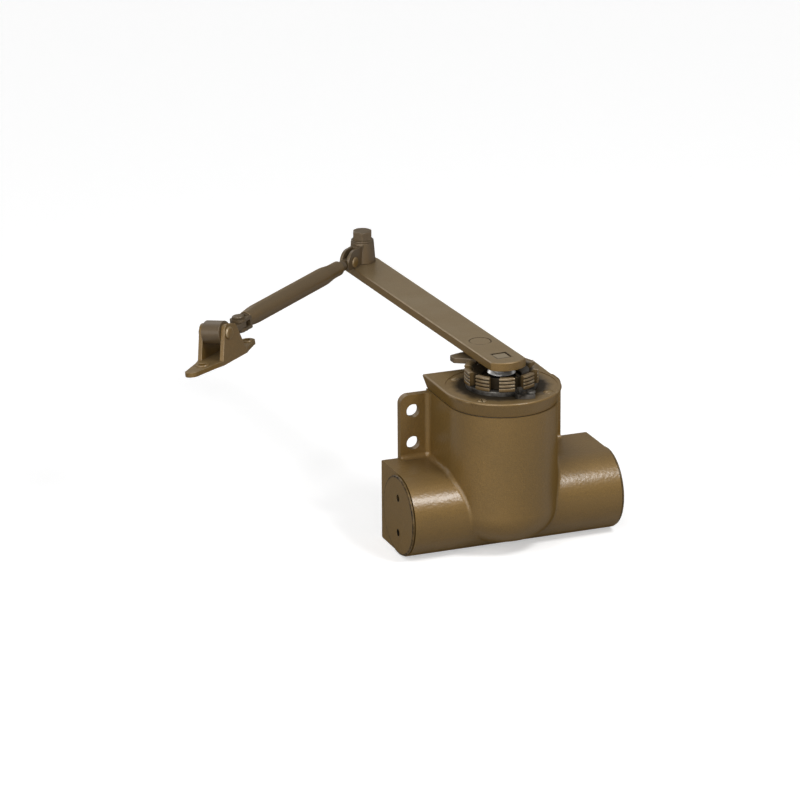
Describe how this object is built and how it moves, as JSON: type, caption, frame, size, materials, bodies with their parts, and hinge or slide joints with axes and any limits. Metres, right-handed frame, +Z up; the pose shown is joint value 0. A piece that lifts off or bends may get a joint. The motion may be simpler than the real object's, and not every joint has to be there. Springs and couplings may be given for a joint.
{
  "type": "door closer",
  "caption": "Pot-bodied hydraulic door closer with a horizontal cylinder, ratchet-wound spring, flat main arm, telescopic forearm and a tilting screw-on foot.",
  "frame": {"origin": "middle of the four door-screw holes, on the flat back of the body that lies on the door", "axes": "+Y out of the back into the door, -Y out of the front of the pot, +X along the cylinder to the end with the speed valve, +Z up the spindle towards the arm"},
  "size_m": [0.3099, 0.3164, 0.1741],
  "materials": {
    "bronze_paint": "satin metallic paint",
    "bright_steel": "bright turned steel",
    "grey_iron": "ground iron",
    "spring_steel": "oiled spring wire",
    "bronze_bush": "turned bronze",
    "black_rubber": "matt"
  },
  "bodies": {
    "body": {"housing": "bronze_paint", "cover": "bronze_paint", "cover_gasket": "black_rubber", "cover_screws": "bronze_paint", "left_end_cap": "bronze_paint", "right_end_cap": "bronze_paint", "left_cap_ring": "black_rubber", "right_cap_ring": "black_rubber", "lower_bush": "bronze_bush", "middle_bush": "bronze_bush", "spindle_seal": "black_rubber", "thrust_washer": "bright_steel", "pawl_screw": "bright_steel", "closing_spring": "spring_steel"},
    "shaft": {"spindle": "bright_steel", "pinion": "bright_steel", "main_arm": "bronze_paint", "dog_stud": "bronze_paint", "elbow_bolt": "bronze_paint", "elbow_washer": "bronze_paint", "elbow_nut": "bronze_paint"},
    "wheel": {"ratchet_wheel": "bronze_paint", "wheel_bush": "bronze_bush"},
    "dog": {"drive_dog": "bronze_paint"},
    "pawl": {"lock_pawl": "bright_steel"},
    "rack": {"piston": "grey_iron", "piston_rings": "grey_iron", "check_plug": "bright_steel"},
    "ball": {"check_ball": "bright_steel"},
    "valve": {"speed_valve": "bright_steel", "valve_ring": "black_rubber"},
    "elbow": {"elbow_knuckle": "bronze_paint", "elbow_pin": "bronze_paint"},
    "rod": {"forearm_rod": "bronze_paint"},
    "tube": {"forearm_tube": "bronze_paint", "foot_clevis": "bronze_paint", "foot_pin": "bronze_paint"},
    "barrel": {"foot_barrel": "bronze_paint"},
    "foot": {"foot_bracket": "bronze_paint", "barrel_pin": "bronze_paint"}
  },
  "joints": [
    {"name": "spindle_turn", "type": "hinge", "parent": "body", "child": "shaft", "pos_m": [0, -0.0458, 0], "axis": [0, 0, 1], "range_deg": [0, 160], "stiffness_Nm_per_rad": 3, "springref_deg": -28.65, "deforming": ["closing_spring"]},
    {"name": "ratchet_turn", "type": "hinge", "parent": "body", "child": "wheel", "pos_m": [0, -0.0458, 0], "axis": [0, 0, 1], "range_deg": [0, 160]},
    {"name": "piston_slide", "type": "slide", "parent": "body", "child": "rack", "axis": [1, 0, 0], "range_m": [-0.0315, 0]},
    {"name": "check_ball_lift", "type": "slide", "parent": "rack", "child": "ball", "axis": [1, 0, 0], "range_m": [0, 0.0015]},
    {"name": "dog_swing", "type": "hinge", "parent": "shaft", "child": "dog", "pos_m": [-0.00168, -0.00834, 0], "axis": [0, 0, 1], "range_deg": [-17, 0]},
    {"name": "pawl_swing", "type": "hinge", "parent": "body", "child": "pawl", "pos_m": [0.0095, -0.0803, 0], "axis": [0, 0, 1], "range_deg": [-13, 0]},
    {"name": "valve_turn", "type": "hinge", "parent": "body", "child": "valve", "pos_m": [0.08, -0.008, -0.035], "axis": [1, 0, 0], "range_deg": [0, 360]},
    {"name": "elbow_swing", "type": "hinge", "parent": "shaft", "child": "elbow", "pos_m": [-0.0115, 0.21144, 0.0669], "axis": [0, 0, 1], "range_deg": [-118, 22]},
    {"name": "elbow_tilt", "type": "hinge", "parent": "elbow", "child": "rod", "pos_m": [-0.0268, 0.19856, 0.0669], "axis": [0.6441, -0.7649, 0], "range_deg": [-15, 5]},
    {"name": "forearm_adjust", "type": "slide", "parent": "rod", "child": "tube", "axis": [-0.7649, -0.6441, 0], "range_m": [-0.006, 0.035]},
    {"name": "foot_swing", "type": "hinge", "parent": "tube", "child": "barrel", "pos_m": [-0.15903, 0.08701, 0.06571], "axis": [-0.0841, 0.0998, 0.9914], "range_deg": [-40, 40]},
    {"name": "foot_tilt", "type": "hinge", "parent": "barrel", "child": "foot", "pos_m": [-0.18493, 0.06576, 0.06898], "axis": [0.6386, -0.7584, 0.1305], "range_deg": [-50, 8]}
  ],
  "couplings": [
    {"joint": "ratchet_turn", "follows": "spindle_turn", "ratio": 1},
    {"joint": "piston_slide", "follows": "spindle_turn", "m_per_rad": -0.01125}
  ]
}
